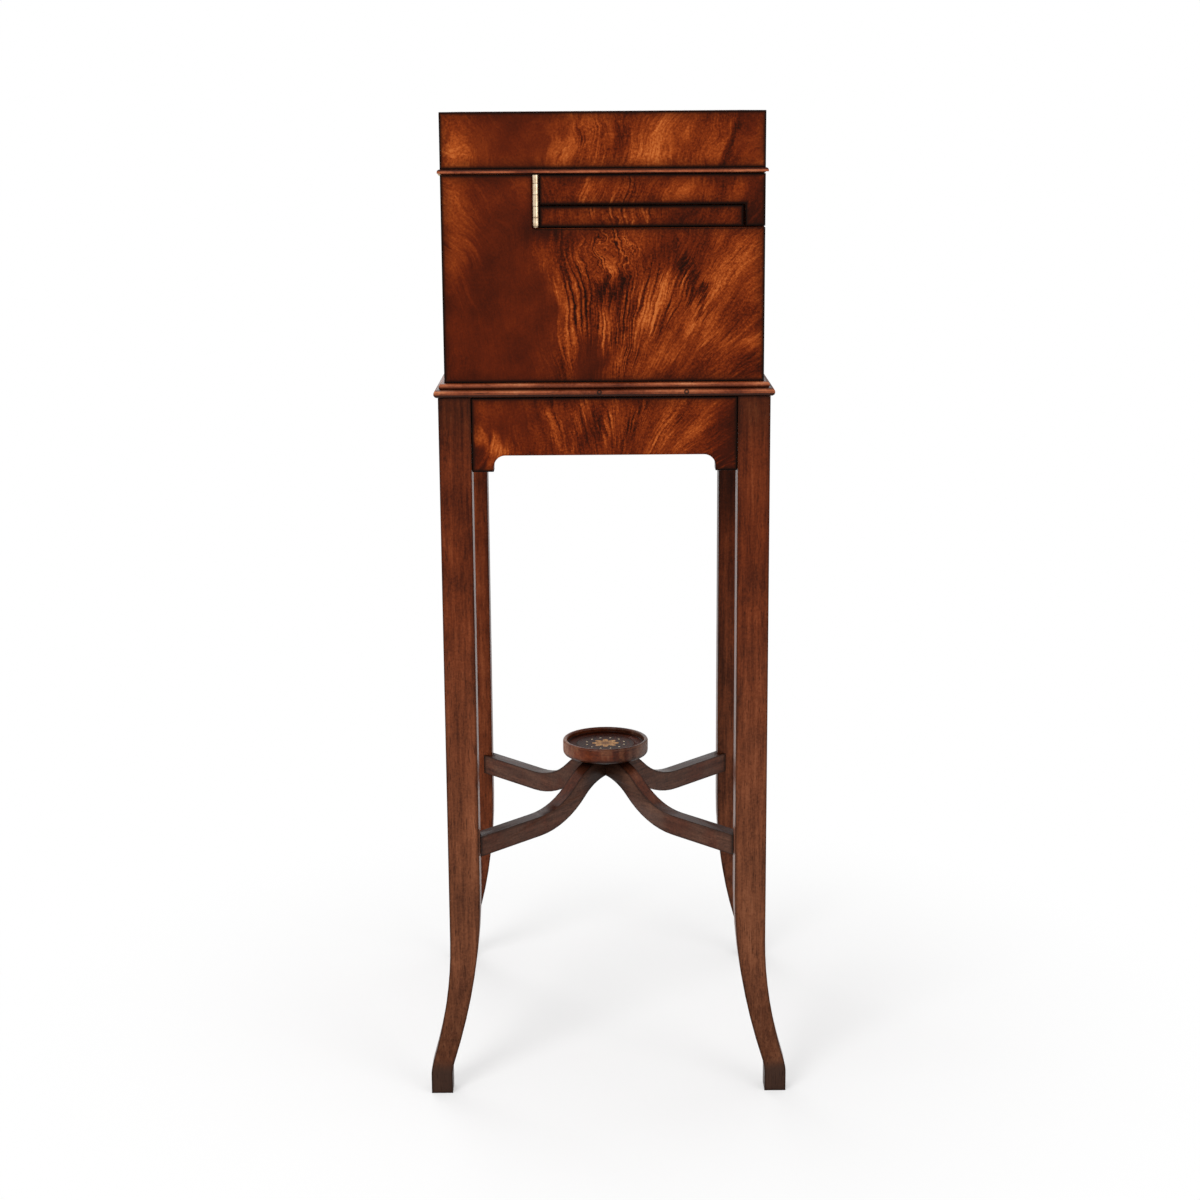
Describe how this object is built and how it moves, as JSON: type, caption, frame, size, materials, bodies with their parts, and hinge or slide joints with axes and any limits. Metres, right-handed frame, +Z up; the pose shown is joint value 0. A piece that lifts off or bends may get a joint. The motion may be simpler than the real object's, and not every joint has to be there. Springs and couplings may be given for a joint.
{
  "type": "dressing box on stand",
  "caption": "Lidded mahogany dressing box on a sabre-legged stand with crossed ogee stretcher, small dished platform and nested swing arms let into each side.",
  "frame": {"origin": "on the floor, under the middle of the case and the stand", "axes": "+Z up, the front looks along -Y, +X runs to the right side when the front is on the near side of the viewer"},
  "size_m": [0.376, 0.352, 0.9536],
  "materials": {
    "flame_mahogany": "lacquered flame mahogany veneer, semi-gloss",
    "plain_mahogany": "lacquered straight-grained mahogany, semi-gloss",
    "inner_mahogany": "waxed mahogany, satin",
    "pale_metal": "nickel-plated brass, polished",
    "mirror_glass": "silvered glass",
    "lining_cloth": "velvet",
    "inlay_wood": "lacquered light veneer, semi-gloss"
  },
  "bodies": {
    "stand_and_case": {"leg_front_left": "plain_mahogany", "leg_front_right": "plain_mahogany", "leg_back_left": "plain_mahogany", "leg_back_right": "plain_mahogany", "apron_front": "flame_mahogany", "apron_back": "flame_mahogany", "apron_left": "flame_mahogany", "apron_right": "flame_mahogany", "base_moulding_front": "plain_mahogany", "base_moulding_back": "plain_mahogany", "base_moulding_left": "plain_mahogany", "base_moulding_right": "plain_mahogany", "stretcher_rail_rising_right": "plain_mahogany", "stretcher_rail_rising_left": "plain_mahogany", "stretcher_dish": "plain_mahogany", "dish_inlay": "inlay_wood", "case_front": "flame_mahogany", "case_back": "flame_mahogany", "case_left": "flame_mahogany", "case_right": "flame_mahogany", "case_bottom": "inner_mahogany", "floor_lining": "lining_cloth", "divider_long": "inner_mahogany", "divider_cross_1": "inner_mahogany", "divider_cross_2": "inner_mahogany", "lid_hinge_left_case_leaf": "pale_metal", "lid_hinge_left_pin": "pale_metal", "lid_hinge_right_case_leaf": "pale_metal", "lid_hinge_right_pin": "pale_metal", "arm_hinge_left_case_leaf": "pale_metal", "arm_hinge_left_pin": "pale_metal", "arm_hinge_right_case_leaf": "pale_metal", "arm_hinge_right_pin": "pale_metal"},
    "lid": {"lid_front": "flame_mahogany", "lid_back": "flame_mahogany", "lid_left": "flame_mahogany", "lid_right": "flame_mahogany", "lid_panel": "flame_mahogany", "lid_bead_front": "plain_mahogany", "lid_bead_back": "plain_mahogany", "lid_bead_left": "plain_mahogany", "lid_bead_right": "plain_mahogany", "lid_mirror": "mirror_glass", "mirror_frame": "inner_mahogany", "lid_hinge_left_lid_leaf": "pale_metal", "lid_hinge_right_lid_leaf": "pale_metal"},
    "upper_left_arm": {"upper_arm_left": "flame_mahogany", "arm_hinge_left_upper_leaf": "pale_metal"},
    "lower_left_arm": {"lower_arm_left": "flame_mahogany", "arm_hinge_left_lower_leaf": "pale_metal"},
    "upper_right_arm": {"upper_arm_right": "flame_mahogany", "arm_hinge_right_upper_leaf": "pale_metal"},
    "lower_right_arm": {"lower_arm_right": "flame_mahogany", "arm_hinge_right_lower_leaf": "pale_metal"}
  },
  "joints": [
    {"name": "lid_hinge", "type": "hinge", "parent": "stand_and_case", "child": "lid", "pos_m": [0, 0.1527, 0.89735], "axis": [-1, 0, 0], "range_deg": [0, 100]},
    {"name": "upper_left_arm_swing", "type": "hinge", "parent": "stand_and_case", "child": "upper_left_arm", "pos_m": [-0.163, 0.0623, 0.8725], "axis": [0, 0, -1], "range_deg": [0, 90]},
    {"name": "lower_left_arm_swing", "type": "hinge", "parent": "stand_and_case", "child": "lower_left_arm", "pos_m": [-0.163, 0.0623, 0.8725], "axis": [0, 0, -1], "range_deg": [0, 90]},
    {"name": "upper_right_arm_swing", "type": "hinge", "parent": "stand_and_case", "child": "upper_right_arm", "pos_m": [0.163, 0.0623, 0.8725], "axis": [0, 0, 1], "range_deg": [0, 90]},
    {"name": "lower_right_arm_swing", "type": "hinge", "parent": "stand_and_case", "child": "lower_right_arm", "pos_m": [0.163, 0.0623, 0.8725], "axis": [0, 0, 1], "range_deg": [0, 90]}
  ]
}
